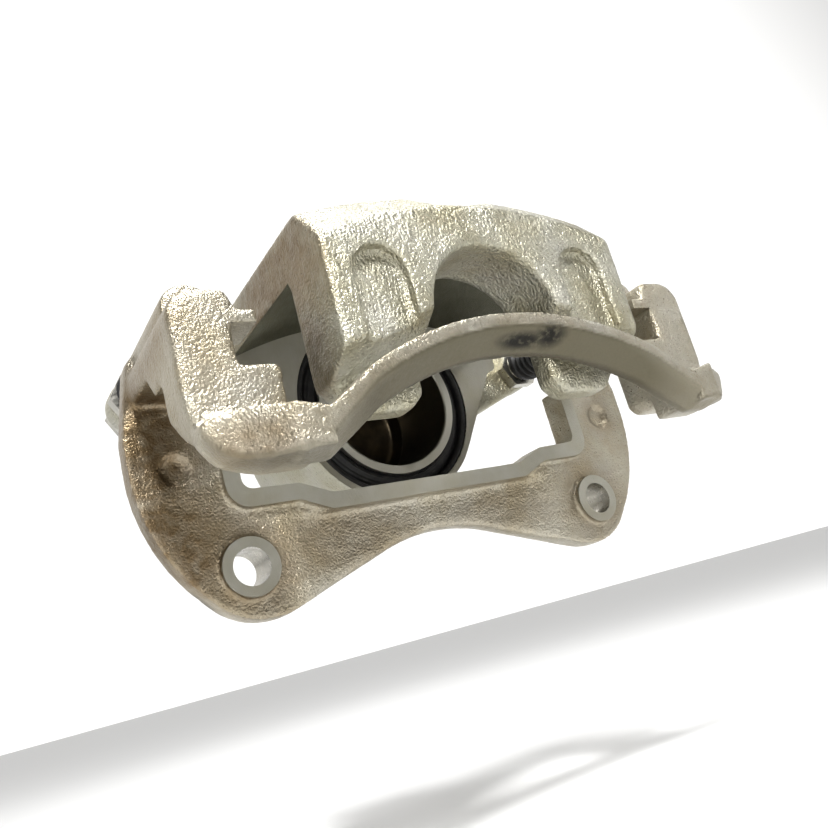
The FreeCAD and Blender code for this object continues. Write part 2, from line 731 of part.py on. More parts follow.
parts = [build_bracket(), build_housing(), build_piston(), build_seal(), build_piston_boot()]
for side_name, place in (("left", "-Sizes.pin_half_span"), ("right", "Sizes.pin_half_span")):
    parts.append(build_pin(f"guide_pin_{side_name}", place, side_name == "right"))
    parts.append(build_pin_boot(f"pin_boot_{side_name}", place))
    parts.append(build_pin_bolt(f"pin_bolt_{side_name}", place))
parts += [build_bush(), build_bleeder(), build_cap()]

document.recompute()
for item in document.Objects:
    if "Invalid" in item.State or "Error" in item.State:
        raise RuntimeError(f"{item.Label} ({item.Name}) failed: {item.State}")
os.makedirs("parts", exist_ok=True)
for part in parts:
    if part.Shape.isNull() or not part.Shape.isValid():
        raise RuntimeError(f"{part.Label} has no valid shape")
    part.Shape.exportStep(f"parts/{part.Label}.step")
    box = part.Shape.BoundBox
    spans = ((box.XMin, box.XMax), (box.YMin, box.YMax), (box.ZMin, box.ZMax))
    print(f"{part.Label}: {len(part.Shape.Solids)} solid, {part.Shape.Volume / 1000:.2f} cm3,",
          ", ".join(f"{low:.1f}..{high:.1f}" for low, high in spans))
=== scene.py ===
import math

import bmesh
import bpy
import numpy as np
from mathutils import Matrix, Vector, noise


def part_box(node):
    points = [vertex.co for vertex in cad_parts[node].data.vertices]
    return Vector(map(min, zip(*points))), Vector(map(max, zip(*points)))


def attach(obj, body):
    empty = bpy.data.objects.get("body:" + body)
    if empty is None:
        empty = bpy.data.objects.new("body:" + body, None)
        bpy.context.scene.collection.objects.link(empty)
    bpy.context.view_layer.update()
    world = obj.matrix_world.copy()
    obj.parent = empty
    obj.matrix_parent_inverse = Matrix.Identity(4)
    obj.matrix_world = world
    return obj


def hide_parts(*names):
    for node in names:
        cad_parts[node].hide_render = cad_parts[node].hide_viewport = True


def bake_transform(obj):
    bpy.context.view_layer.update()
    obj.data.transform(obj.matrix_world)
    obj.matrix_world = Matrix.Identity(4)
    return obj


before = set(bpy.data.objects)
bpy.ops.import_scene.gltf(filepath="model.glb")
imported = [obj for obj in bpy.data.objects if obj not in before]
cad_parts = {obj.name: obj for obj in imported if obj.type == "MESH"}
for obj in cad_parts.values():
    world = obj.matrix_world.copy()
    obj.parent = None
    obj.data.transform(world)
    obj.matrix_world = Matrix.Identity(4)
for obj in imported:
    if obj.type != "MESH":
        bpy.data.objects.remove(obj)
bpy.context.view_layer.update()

# Floating brake caliper on its anchor bracket. The frame is the CAD's: X tangential to the rotor,
# +Y inboard, +Z radially outward. Shapes below are written in millimetres and scaled by MM. The
# camera, the lamps and the floor are placed in metres.
MM = 0.001
INBOARD = (0, 1, 0)

# spans are from the middle plane, heights from the line of the mounting bolts
ROTOR_DROP = 58.0
PIN_SPAN = 89.5
PIN_HEIGHT = 74.0
BOLT_SPAN = 75.0
PISTON_HEIGHT = 55.6

# how far a face that is milled stands proud before it is cut
MILLING_STOCK = 1.8

# radii and places on the anchor bracket
MILLED_FACE_TOP = 53
BOSS_RADIUS = 9.7
BOLT_HOLE_RADIUS = 6.25
PIN_BORE_RADIUS = 5.55
PIN_BORE_END = -29
EAR_SLOT_SPAN = (70.0, 84.5)
EAR_SLOT_BOTTOM = 48.5
EAR_SLOT_TOP = 61.5

# radii and places on the housing
SLOT_RADIUS = 149.0
SLOT_CAST_RADIUS = 147.6
LEG_FACE = -38.95
FLANGE_FACE = 19.0
PISTON_BORE_RADIUS = 30.2
SEAL_GROOVE_RADIUS = 33.6
COUNTERBORE_RADIUS = 37.5
PORT_SPAN = 20
PORT_HEIGHT = 70
BLEEDER_SPAN = -18
BLEEDER_DEPTH = 60
LUG_FACE_RADIUS = 9.0
PIN_BOLT_HOLE_RADIUS = 4.3


# ---- meshes ----

def new_object(name, mesh):
    piece = bpy.data.objects.new(name, mesh)
    bpy.context.scene.collection.objects.link(piece)
    return piece


def take(piece):
    """A scratch object's mesh, with the object removed."""
    mesh = piece.data
    bpy.data.objects.remove(piece)
    return mesh


def from_bmesh(name, shape):
    mesh = bpy.data.meshes.new(name)
    shape.to_mesh(mesh)
    shape.free()
    return new_object(name, mesh)


def settle(piece):
    """Apply the piece's modifiers to its mesh."""
    graph = bpy.context.evaluated_depsgraph_get()
    mesh = bpy.data.meshes.new_from_object(piece.evaluated_get(graph))
    old = piece.data
    piece.modifiers.clear()
    piece.data = mesh
    mesh.name = piece.name
    bpy.data.meshes.remove(old)


def cad_copy(node, name):
    """A welded copy of a CAD node's mesh."""
    shape = bmesh.new()
    shape.from_mesh(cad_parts[node].data)
    bmesh.ops.remove_doubles(shape, verts=shape.verts, dist=1e-6)
    return from_bmesh(name, shape)


def lathe(name, profile, origin, direction, steps=96):
    """A profile of (radius, distance) points turned about an axis.

    A profile with neither end on the axis is closed into a ring.
    """
    axis = Vector(direction).normalized()
    side = axis.orthogonal().normalized()
    turn = Matrix((side, axis.cross(side), axis)).transposed()
    angles = [2 * math.pi * k / steps for k in range(steps)]
    shape = bmesh.new()
    rings = []
    for radius, along in profile:
        if radius == 0:
            rings.append([shape.verts.new(turn @ Vector((0, 0, along)))])
            continue
        points = [(radius * math.cos(angle), radius * math.sin(angle), along) for angle in angles]
        rings.append([shape.verts.new(turn @ Vector(point)) for point in points])
    hollow = len(rings[0]) > 1 and len(rings[-1]) > 1
    pairs = list(zip(rings, rings[1:]))
    if hollow:
        pairs.append((rings[-1], rings[0]))
    for low, high in pairs:
        for k in range(steps):
            after = (k + 1) % steps
            if len(low) == 1:
                shape.faces.new((low[0], high[after], high[k]))
            elif len(high) == 1:
                shape.faces.new((low[k], low[after], high[0]))
            else:
                shape.faces.new((low[k], low[after], high[after], high[k]))
    bmesh.ops.recalc_face_normals(shape, faces=shape.faces)
    bmesh.ops.transform(shape, matrix=Matrix.Translation(Vector(origin)), verts=shape.verts)
    bmesh.ops.scale(shape, vec=(MM, MM, MM), verts=shape.verts)
    return from_bmesh(name, shape)


def rod(start, end, radius, steps=128):
    """A closed cylinder between two points."""
    run = Vector(end) - Vector(start)
    profile = [(0, 0), (radius, 0), (radius, run.length), (0, run.length)]
    return lathe("rod", profile, start, run, steps)


def block(low, high):
    """A closed box between two corners."""
    shape = bmesh.new()
    bmesh.ops.create_cube(shape, size=1.0)
    low = Vector(low) * MM
    high = Vector(high) * MM
    size = high - low
    bmesh.ops.scale(shape, vec=size, verts=shape.verts)
    bmesh.ops.translate(shape, vec=(low + high) / 2, verts=shape.verts)
    return from_bmesh("block", shape)


def smooth_shade(piece, angle):
    """Smooth shading, with edges past an angle in degrees kept sharp."""
    piece.data.shade_smooth()
    piece.data.set_sharp_from_angle(angle=math.radians(angle))


def merge(piece, others):
    """Join other scratch objects' meshes into a piece."""
    shape = bmesh.new()
    shape.from_mesh(piece.data)
    for other in others:
        mesh = take(other)
        shape.from_mesh(mesh)
        bpy.data.meshes.remove(mesh)
    shape.to_mesh(piece.data)
    shape.free()
    piece.data.update()


def combine(piece, cutter, operation, material):
    """Boolean of a piece with a scratch cutter. Faces made by the cutter take its material."""
    cutter.data.materials.append(material)
    step = piece.modifiers.new("Machining", "BOOLEAN")
    step.operation = operation
    step.solver = "MANIFOLD"
    step.material_mode = "TRANSFER"
    step.object = cutter
    settle(piece)
    bpy.data.meshes.remove(take(cutter))


def bore(piece, start, end, radius, material, steps=128):
    """Cut a round hole, or a round flat face, between two points."""
    combine(piece, rod(start, end, radius, steps), "DIFFERENCE", material)


def vertex_array(mesh):
    flat = np.empty(len(mesh.vertices) * 3)
    mesh.vertices.foreach_get("co", flat)
    return flat.reshape(-1, 3)


def write_vertices(mesh, points):
    mesh.vertices.foreach_set("co", points.ravel())
    mesh.update()


# ---- castings ----

def firmness(points, boxes):
    """How much each point may be averaged: 1 outside the boxes, and each box's own share inside."""
    share = np.ones((len(points), 1))
    for low, high, value in boxes:
        mirrored = np.column_stack((np.abs(points[:, 0]), points[:, 1:])) / MM
        share[np.all((mirrored > low) & (mirrored < high), axis=1)] = value
    return share


def soften(mesh, rounds, limit, boxes):
    """Round the edges of an even mesh by repeated averaging, moving no point past a limit.

    The boxes, given on the right-hand side and mirrored, hold places that stay crisper.
    """
    start = vertex_array(mesh)
    share = 0.6 * firmness(start, boxes)
    ends = np.empty(len(mesh.edges) * 2, dtype=np.int64)
    mesh.edges.foreach_get("vertices", ends)
    one = ends[0::2]
    two = ends[1::2]
    count = len(start)
    valence = np.bincount(ends, minlength=count)[:, None]
    points = start.copy()
    for step in range(rounds):
        total = np.stack([np.bincount(one, points[two, axis], count)
                          + np.bincount(two, points[one, axis], count)
                          for axis in range(3)], axis=1)
        points += share * (total / valence - points)
    move = points - start
    length = np.linalg.norm(move, axis=1, keepdims=True)
    points = start + move * np.minimum(1.0, limit * MM / np.maximum(length, 1e-9))
    write_vertices(mesh, points)


def roughen(mesh, depth, grain):
    """Uneven cast surface: a slow swell and a finer grain, along the normals."""
    points = vertex_array(mesh)
    normals = np.empty(len(mesh.vertices) * 3)
    mesh.vertices.foreach_get("normal", normals)
    swell = np.array([noise.noise(Vector(point) / (7 * MM)) for point in points])
    fine = np.array([noise.noise(Vector(point) / (grain * MM)) for point in points])
    height = (0.6 * swell + 0.7 * fine) * depth * MM
    write_vertices(mesh, points + normals.reshape(-1, 3) * height[:, None])


def cast(node, name, plugs, add_stock, voxel, rounds, limit, firm):
    """A casting from a CAD node, with its holes plugged and stock left on its milled faces.

    Its edges are rounded and its skin is uneven. It stays inside the node's box.
    """
    piece = cad_copy(node, name)
    points = vertex_array(piece.data)
    write_vertices(piece.data, add_stock(points / MM) * MM)
    merge(piece, plugs)
    remesh = piece.modifiers.new("Even", "REMESH")
    remesh.mode = "VOXEL"
    remesh.voxel_size = voxel * MM
    settle(piece)
    soften(piece.data, rounds, limit, firm)
    roughen(piece.data, depth=0.10, grain=1.8)
    low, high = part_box(node)
    points = np.clip(vertex_array(piece.data), np.array(low), np.array(high))
    write_vertices(piece.data, points)
    return piece


def spots(mesh, name, places, facing=None):
    """A soft vertex mask: the strongest of several round falloffs (centre, radius, amount).

    A facing keeps the mask to faces that look that way.
    """
    points = vertex_array(mesh) / MM
    value = np.zeros(len(points))
    for centre, radius, amount in places:
        away = np.linalg.norm((points - np.array(centre)) / np.array(radius), axis=1)
        value = np.maximum(value, amount * np.clip(1.6 - 1.6 * away, 0, 1))
    if facing:
        normals = np.empty(len(points) * 3)
        mesh.vertices.foreach_get("normal", normals)
        value *= np.clip(normals.reshape(-1, 3) @ np.array(facing) * 5 - 1.5, 0, 1)
    layer = mesh.attributes.new(name, "FLOAT", "POINT")
    layer.data.foreach_set("value", value.astype(np.float32))


# ---- materials ----

class Graph:
    """Short calls for building one material's nodes."""

    def __init__(self, name):
        self.material = bpy.data.materials.new(name)
        self.material.use_nodes = True
        self.nodes = self.material.node_tree.nodes
        self.links = self.material.node_tree.links
        self.shader = self.nodes["Principled BSDF"]
        place = self.nodes.new("ShaderNodeTexCoord")
        self.place = self.operate("VectorMath", "SCALE", place.outputs["Object"], scale=1000.0)

    def link(self, source, target):
        self.links.new(source, target)

    def operate(self, kind, operation, first, second=None, scale=None):
        node = self.nodes.new(f"ShaderNode{kind}")
        node.operation = operation
        for index, value in ((0, first), (1, second)):
            if value is None:
                continue
            if isinstance(value, bpy.types.NodeSocket):
                self.link(value, node.inputs[index])
            else:
                node.inputs[index].default_value = value
        if scale is not None:
            node.inputs["Scale"].default_value = scale
        return node.outputs[0]

    def math(self, operation, first, second=None):
        return self.operate("Math", operation, first, second)

    def stretched(self, scale, rotation=(0, 0, 0)):
        node = self.nodes.new("ShaderNodeMapping")
        node.inputs["Scale"].default_value = scale
        node.inputs["Rotation"].default_value = rotation
        self.link(self.place, node.inputs["Vector"])
        return node.outputs[0]

    def noise(self, scale, detail=3.0, roughness=0.55, distortion=0.0, place=None):
        node = self.nodes.new("ShaderNodeTexNoise")
        node.inputs["Scale"].default_value = scale
        node.inputs["Detail"].default_value = detail
        node.inputs["Roughness"].default_value = roughness
        node.inputs["Distortion"].default_value = distortion
        self.link(place or self.place, node.inputs["Vector"])
        return node.outputs["Fac"]

    def from_axis(self, centre):
        """Distance from an axis along Y, in millimetres."""
        offset = self.operate("VectorMath", "SUBTRACT", self.place, centre)
        flat = self.operate("VectorMath", "MULTIPLY", offset, (1, 0, 1))
        node = self.nodes.new("ShaderNodeVectorMath")
        node.operation = "LENGTH"
        self.link(flat, node.inputs[0])
        return node.outputs["Value"]

    def cells(self, scale):
        node = self.nodes.new("ShaderNodeTexVoronoi")
        node.feature = "SMOOTH_F1"
        node.inputs["Scale"].default_value = scale
        self.link(self.place, node.inputs["Vector"])
        return node.outputs["Distance"]

    def waves(self, scale, place, distortion):
        node = self.nodes.new("ShaderNodeTexWave")
        node.wave_type = "BANDS"
        node.inputs["Scale"].default_value = scale
        node.inputs["Distortion"].default_value = distortion
        node.inputs["Detail"].default_value = 2.0
        self.link(place, node.inputs["Vector"])
        return node.outputs["Fac"]

    def attribute(self, name):
        node = self.nodes.new("ShaderNodeAttribute")
        node.attribute_name = name
        return node.outputs["Fac"]

    def between(self, value, low, high, to_low=0.0, to_high=1.0):
        node = self.nodes.new("ShaderNodeMapRange")
        ends = {"From Min": low, "From Max": high, "To Min": to_low, "To Max": to_high}
        for key, number in ends.items():
            node.inputs[key].default_value = number
        self.link(value, node.inputs["Value"])
        return node.outputs["Result"]

    def colours(self, value, stops):
        node = self.nodes.new("ShaderNodeValToRGB")
        ramp = node.color_ramp
        while len(ramp.elements) < len(stops):
            ramp.elements.new(0.5)
        for element, (position, colour) in zip(ramp.elements, stops):
            element.position = position
            element.color = (*colour, 1.0)
        self.link(value, node.inputs["Fac"])
        return node.outputs["Color"]

    def mix(self, share, first, second):
        node = self.nodes.new("ShaderNodeMix")
        node.data_type = "RGBA"
        for key, value in ((0, share), (6, first), (7, second)):
            if isinstance(value, bpy.types.NodeSocket):
                self.link(value, node.inputs[key])
            else:
                node.inputs[key].default_value = (*value, 1.0)
        return node.outputs[2]

    def bump(self, height, depth, below=None):
        node = self.nodes.new("ShaderNodeBump")
        node.inputs["Strength"].default_value = 1.0
        node.inputs["Distance"].default_value = depth * MM
        self.link(height, node.inputs["Height"])
        if below:
            self.link(below, node.inputs["Normal"])
        return node.outputs["Normal"]

    def finish(self, colour, roughness, normal, metallic=0.0):
        self.link(colour, self.shader.inputs["Base Color"])
        self.link(roughness, self.shader.inputs["Roughness"])
        self.link(normal, self.shader.inputs["Normal"])
        self.shader.inputs["Metallic"].default_value = metallic
        return self.material


def cast_material(name, streaks, base, grit, scale):
    """Zinc-plated rough casting, straw-coloured, with brown chromate colour that also serves as
    painted shade.
    """
    g = Graph(name)
    patches = g.noise(0.045, 4.0, 0.6)
    grain = g.noise(scale, 3.0, 0.55)
    pimples = g.cells(scale)
    lumps = g.noise(0.26, 2.0, 0.5, 0.3)
    runs = g.noise(0.9, 2.0, 0.5, 0.5, g.stretched((1.0, 1.0, 0.25)))
    silver = g.colours(patches, [(0.30, base[0]), (0.50, base[1]), (0.68, base[2])])
    # the brown mask is partly chromate colour and partly painted shade
    tint_and_shade = g.math("MULTIPLY", g.attribute("tint_and_shade"), g.between(lumps, 0.25, 0.7, 0.65, 1.1))
    brown = g.colours(patches, [(0.3, (0.15, 0.108, 0.062)), (0.7, (0.22, 0.17, 0.105))])
    colour = g.mix(tint_and_shade, silver, brown)
    # the smooth mask also darkens the colour: painted shade on undersides
    painted_shade = g.math("MULTIPLY", g.attribute("smooth_and_shade"), 0.95)
    colour = g.mix(painted_shade, colour, (0.105, 0.095, 0.066))
    pits = g.between(grain, 0.30, 0.46, 0.25, 0.0)
    colour = g.mix(pits, colour, (0.12, 0.105, 0.075))
    soot = g.math("MULTIPLY", g.attribute("smudge"), g.between(g.noise(0.5), 0.32, 0.5, 0.45, 1.0))
    colour = g.mix(soot, colour, (0.02, 0.019, 0.016))
    dull = g.between(grain, 0.3, 0.7, 0.27, 0.41)
    roughness = g.math("ADD", dull, g.math("MULTIPLY", g.attribute("smooth_and_shade"), 0.1))
    amount = g.between(g.attribute("smooth_and_shade"), 0.0, 1.0, 1.0, 0.12)
    amount = g.math("MULTIPLY", amount, g.between(g.noise(0.06, 2.0), 0.35, 0.62, 0.75, 1.15))
    amount = g.math("MULTIPLY", amount, g.between(g.attribute("tint_and_shade"), 0.0, 1.0, 1.0, 0.5))
    fine = g.math("ADD", grain, g.math("MULTIPLY", pimples, 0.5))
    fine = g.math("MULTIPLY", g.math("ADD", fine, g.math("MULTIPLY", runs, streaks)), amount)
    coarse = g.math("MULTIPLY", lumps, amount)
    normal = g.bump(coarse, 0.4)
    normal = g.bump(fine, grit, below=normal)
    return g.finish(colour, roughness, normal, 0.85)


def machined_material(name, rotation, colours):
    """Milled face, plated: fine cutter lines with a bright sheen."""
    g = Graph(name)
    lines = g.waves(0.9, g.stretched((1, 1, 1), rotation), distortion=0.6)
    fine = g.noise(1.2, 2.0, 0.5, 0.0, g.stretched((3.0, 0.25, 0.25), rotation))
    patches = g.noise(0.08, 3.0)
    colour = g.colours(patches, [(0.3, colours[0]), (0.7, colours[1])])
    roughness = g.between(fine, 0.3, 0.7, 0.28, 0.46)
    normal = g.bump(g.math("ADD", lines, fine), 0.22)
    return g.finish(colour, roughness, normal, 1.0)


def turned_material(name, colour_low, colour_high, rough=(0.22, 0.4), spacing=0.5):
    """Turned or drawn metal: rings spaced along Y, with faint stains."""
    g = Graph(name)
    rings = g.noise(1.0 / spacing, 2.0, 0.5, 0.0, g.stretched((0.05, 1.0, 0.05)))
    patches = g.noise(0.12, 3.0, 0.6)
    colour = g.colours(patches, [(0.3, colour_low), (0.7, colour_high)])
    roughness = g.between(g.noise(0.6, 3.0), 0.3, 0.7, *rough)
    return g.finish(colour, roughness, g.bump(rings, 0.04), 1.0)


def piston_material(name):
    """Drawn steel cup: a bright turned rim and a dark inside."""
    g = Graph(name)
    radius = g.from_axis((0, 0, PISTON_HEIGHT))
    stains = g.noise(0.10, 3.0, 0.6)
    inside = g.colours(stains, [(0.35, (0.050, 0.043, 0.032)), (0.68, (0.12, 0.095, 0.065))])
    colour = g.mix(g.between(radius, 25.6, 26.3), inside, (0.58, 0.57, 0.52))
    roughness = g.between(g.noise(0.3, 3.0), 0.3, 0.7, 0.28, 0.38)
    return g.finish(colour, roughness, g.bump(g.noise(0.3, 2.0), 0.015), 1.0)


def rubber_material(name):
    """Black rubber with a little dust."""
    g = Graph(name)
    dust = g.noise(0.35, 4.0, 0.6)
    colour = g.colours(dust, [(0.35, (0.010, 0.010, 0.011)), (0.75, (0.028, 0.027, 0.026))])
    roughness = g.between(g.noise(1.5, 3.0), 0.3, 0.7, 0.38, 0.6)
    return g.finish(colour, roughness, g.bump(g.noise(2.4, 2.0), 0.06))


BRACKET_SILVER = [(0.45, 0.43, 0.375), (0.41, 0.38, 0.31), (0.34, 0.30, 0.22)]
HOUSING_SILVER = [(0.44, 0.43, 0.38), (0.40, 0.385, 0.31), (0.345, 0.32, 0.23)]
MILLED_PALE = ((0.46, 0.45, 0.40), (0.40, 0.38, 0.31))
# darker colours for the slot's milled roof: painted shade, as the slot sits in shade
MILLED_SHADED = ((0.20, 0.20, 0.155), (0.15, 0.145, 0.105))
CUTTER_LINES = (0, math.radians(38), 0)

bracket_cast = cast_material("bracket_cast", 0.1, BRACKET_SILVER, grit=0.5, scale=1.25)
housing_cast = cast_material("housing_cast", 0.7, HOUSING_SILVER, grit=0.68, scale=1.1)
milled = machined_material("milled", CUTTER_LINES, MILLED_PALE)
# milled slot roof in darker colours: painted shade
slot_milled_shaded = machined_material("slot_milled_shaded", (0, 0, 0), MILLED_SHADED)
bored = turned_material("bored", (0.30, 0.29, 0.26), (0.40, 0.38, 0.33))
piston_steel = piston_material("piston_steel")
zinc = turned_material("zinc", (0.50, 0.49, 0.45), (0.60, 0.58, 0.52), (0.24, 0.42), 0.8)
yellow_zinc = turned_material("yellow_zinc", (0.55, 0.46, 0.24), (0.62, 0.55, 0.34),
                              (0.22, 0.38), 0.8)
rubber = rubber_material("rubber")


# ---- camera, light and floor ----

def aim(yaw, pitch, roll):
    """Camera axes from its heading, its tilt and its roll, in radians."""
    ahead = Vector((math.sin(yaw) * math.cos(pitch), math.cos(yaw) * math.cos(pitch),
                    math.sin(pitch)))
    level = Vector((math.cos(yaw), -math.sin(yaw), 0))
    above = level.cross(ahead)
    right = level * math.cos(roll) + above * math.sin(roll)
    top = above * math.cos(roll) - level * math.sin(roll)
    return Matrix((right, top, -ahead)).transposed()


CAMERA_PLACE = (-0.169, -0.256, -0.0347)
CAMERA_YAW = math.radians(33.29)
CAMERA_PITCH = math.radians(14.45)
CAMERA_ROLL = -0.2705

lens = bpy.data.cameras.new("camera")
lens.lens = 36.63
lens.sensor_width = 36.0
lens.clip_start = 0.005
camera = bpy.data.objects.new("camera", lens)
camera.matrix_world = (Matrix.Translation(CAMERA_PLACE)
                       @ aim(CAMERA_YAW, CAMERA_PITCH, CAMERA_ROLL).to_4x4())
bpy.context.scene.collection.objects.link(camera)
bpy.context.scene.camera = camera

world = bpy.data.worlds.new("studio")
world.use_nodes = True
background = world.node_tree.nodes["Background"]
background.inputs["Color"].default_value = (1.0, 0.995, 0.985, 1.0)
sky = world.node_tree
heading = sky.nodes.new("ShaderNodeTexCoord")
parts = sky.nodes.new("ShaderNodeSeparateXYZ")
sky.links.new(heading.outputs["Generated"], parts.inputs[0])


def fade(axis, start, end, low, high):
    """Sky brightness that changes along one axis of the direction looked in."""
    node = sky.nodes.new("ShaderNodeMapRange")
    ends = {"From Min": start, "From Max": end, "To Min": low, "To Max": high}
    for key, number in ends.items():
        node.inputs[key].default_value = number
    sky.links.new(parts.outputs[axis], node.inputs["Value"])
    return node.outputs["Result"]


# pale inboard of the part, along the horizon and below it, and dim elsewhere, which gives the metal
# its contrast
brightest = sky.nodes.new("ShaderNodeMath")
brightest.operation = "MAXIMUM"
sky.links.new(fade("Y", 0.12, 0.45, 0.05, 1.0), brightest.inputs[0])
sky.links.new(fade("Z", 0.20, 0.34, 0.85, 0.05), brightest.inputs[1])
sky.links.new(brightest.outputs[0], background.inputs["Strength"])
bpy.context.scene.world = world
bpy.context.scene.view_settings.view_transform = "Standard"
bpy.context.scene.view_settings.look = "Medium High Contrast"
sun = bpy.data.lights.new("overhead", "SUN")
sun.energy = 0.75
sun.angle = math.radians(25)
overhead = bpy.data.objects.new("overhead", sun)
overhead.rotation_euler = (math.radians(12), math.radians(-8), 0)
bpy.context.scene.collection.objects.link(overhead)


def lamp(name, place, target, width, power):
    """A round area light that faces a target."""
    light = bpy.data.lights.new(name, "AREA")
    light.shape = "DISK"
    light.size = width
    light.energy = power
    piece = bpy.data.objects.new(name, light)
    piece.location = place
    piece.rotation_euler = (Vector(target) - Vector(place)).to_track_quat("-Z", "Y").to_euler()
    bpy.context.scene.collection.objects.link(piece)


middle = (0.0, 0.0, 0.04)
lamp("key", (-0.18, -0.50, 0.72), middle, 0.10, 8.5)
lamp("front", (-0.55, -0.55, 0.18), middle, 0.10, 0.9)
lamp("side", (0.60, -0.35, 0.45), middle, 0.14, 0.9)
lamp("top", (0.10, -0.12, 0.80), middle, 0.16, 3.0)
lamp("rear", (0.25, 0.70, 0.60), middle, 0.30, 0.8)

FLOOR_HEIGHT = -0.10

ground = bmesh.new()
bmesh.ops.create_grid(ground, x_segments=1, y_segments=1, size=40.0)
floor = from_bmesh("floor", ground)
floor.location = (0, 0, FLOOR_HEIGHT)
pale = bpy.data.materials.new("pale_floor")
pale.use_nodes = True
paint = pale.node_tree.nodes["Principled BSDF"]
paint.inputs["Base Color"].default_value = (0.80, 0.80, 0.795, 1.0)
paint.inputs["Roughness"].default_value = 0.9
floor.data.materials.append(pale)


# ---- anchor bracket ----

def bracket_stock(points):
    """Stock for milling on the window land and on the bosses' rims."""
    low = points[:, 2] < 56.0
    proud = (points[:, 1] < 0.2) & (points[:, 1] > -1.0) & low
    points[proud, 1] -= MILLING_STOCK
    return points


plugs = []
for side in (-1, 1):
    plugs.append(rod((side * BOLT_SPAN, -MILLING_STOCK, 0), (side * BOLT_SPAN, 15, 0), 6.6))
    plugs.append(rod((side * PIN_SPAN, -29.5, PIN_HEIGHT), (side * PIN_SPAN, 15, PIN_HEIGHT), 6.0))
firm = [((0, -4, -20), (110, 3.2, 56), 0.12), ((0, -3, 17), (86, 14, 53), 0.12),
        ((70, -52, 44), (84.2, 14, 66), 0.15), ((0, -72, 10), (75, -57, 60), 0.12),
        ((75, -72, 10), (104, -50, 40), 0.4), ((86, -1, 29), (99, 6, 41), 0.2)]
bracket = cast("anchor_bracket", "bracket_casting", plugs, bracket_stock,
               voxel=0.75, rounds=14, limit=1.5, firm=firm)
bracket.data.materials.clear()
bracket.data.materials.append(bracket_cast)
combine(bracket, block((-105, -6, -20), (105, 0, MILLED_FACE_TOP)), "DIFFERENCE", milled)
for side in (-1, 1):
    bolt = side * BOLT_SPAN
    pin = side * PIN_SPAN
    combine(bracket, rod((bolt, 0.02, 0), (bolt, 6, 0), BOSS_RADIUS), "UNION", milled)
    bore(bracket, (bolt, -5, 0), (bolt, 20, 0), BOLT_HOLE_RADIUS, bored)
    bore(bracket, (pin, PIN_BORE_END, PIN_HEIGHT), (pin, 20, PIN_HEIGHT), PIN_BORE_RADIUS, bored)
    left, right = sorted(side * reach for reach in EAR_SLOT_SPAN)
    combine(bracket, block((left, -55, EAR_SLOT_BOTTOM), (right, 14, EAR_SLOT_TOP)),
            "DIFFERENCE", bracket_cast)
smooth_shade(bracket, 40)
# brown mask: chromate colour, and painted shade on the plate's left under the arm and round the bolt
# bosses
spots(bracket.data, "tint_and_shade", [((-100, 2, 45), (24, 30, 40), 1.0), ((-98, 2, 10), (28, 16, 34), 1.0),
                             ((-103, -20, 66), (10, 44, 18), 0.75), ((-90, -62, 22), (18, 16, 9), 0.7),
                             ((-75, 3, 0), (24, 14, 24), 0.85), ((75, 3, 0), (24, 14, 24), 0.5),
                             ((92, 2, 35), (12, 12, 14), 0.45), ((-40, 6, 4), (45, 12, 16), 0.5),
                             ((30, 6, 4), (45, 12, 14), 0.3)])
spots(bracket.data, "smudge", [((2, -66, 44.0), (12, 9, 2.6), 1.0),
                               ((13, -66, 45), (8, 9, 4.2), 1.0),
                               ((-92, 10, -8), (14, 4, 7), 0.6)])
# smoother and darker on faces that look down across the outboard tie bar: painted shade on the
# undersides
spots(bracket.data, "smooth_and_shade", [((0, -64, 38), (160, 20, 70), 1.0)], (0, -0.35, -0.94))
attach(bracket, "bracket")
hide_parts("anchor_bracket")


# ---- housing ----

def housing_stock(points):
    """Stock for milling on the inboard flange's face and on the slot's roof."""
    reach = np.hypot(points[:, 0], points[:, 2] + ROTOR_DROP)
    roof = (np.abs(reach - SLOT_RADIUS) < 0.3) & (points[:, 1] > -39.2) & (points[:, 1] < 19.2)
    points[roof, 0] *= SLOT_CAST_RADIUS / SLOT_RADIUS
    points[roof, 2] = ((points[roof, 2] + ROTOR_DROP) * SLOT_CAST_RADIUS / SLOT_RADIUS
                       - ROTOR_DROP)
    low = np.hypot(points[:, 0], points[:, 2] + ROTOR_DROP) < SLOT_RADIUS - 0.5
    flange = (np.abs(points[:, 1] - FLANGE_FACE) < 0.2) & low
    points[flange, 1] -= MILLING_STOCK
    return points


plugs = [rod((0, 17.2, PISTON_HEIGHT), (0, 71, PISTON_HEIGHT), 38.2),
         rod((PORT_SPAN, 68, PORT_HEIGHT), (PORT_SPAN, 82, PORT_HEIGHT), 5.0),
         rod((BLEEDER_SPAN, BLEEDER_DEPTH, 82), (BLEEDER_SPAN, BLEEDER_DEPTH, 99), 5.5)]
for side in (-1, 1):
    plugs.append(rod((side * PIN_SPAN, 43, PIN_HEIGHT), (side * PIN_SPAN, 55, PIN_HEIGHT), 4.9))
firm = [((0, 15, 0), (58, 25, 78), 0.15), ((28, -65, 40), (52, -58, 82), 0.3)]
housing = cast("caliper_housing", "housing_casting", plugs, housing_stock,
               voxel=0.85, rounds=10, limit=1.3, firm=firm)
housing.data.materials.clear()
housing.data.materials.append(housing_cast)
bore(housing, (0, LEG_FACE, -ROTOR_DROP), (0, FLANGE_FACE, -ROTOR_DROP), SLOT_RADIUS,
     slot_milled_shaded, 512)
for start, end, radius in ((10, 24, COUNTERBORE_RADIUS), (15, 70, PISTON_BORE_RADIUS),
                           (34, 38, SEAL_GROOVE_RADIUS)):
    bore(housing, (0, start, PISTON_HEIGHT), (0, end, PISTON_HEIGHT), radius, bored)
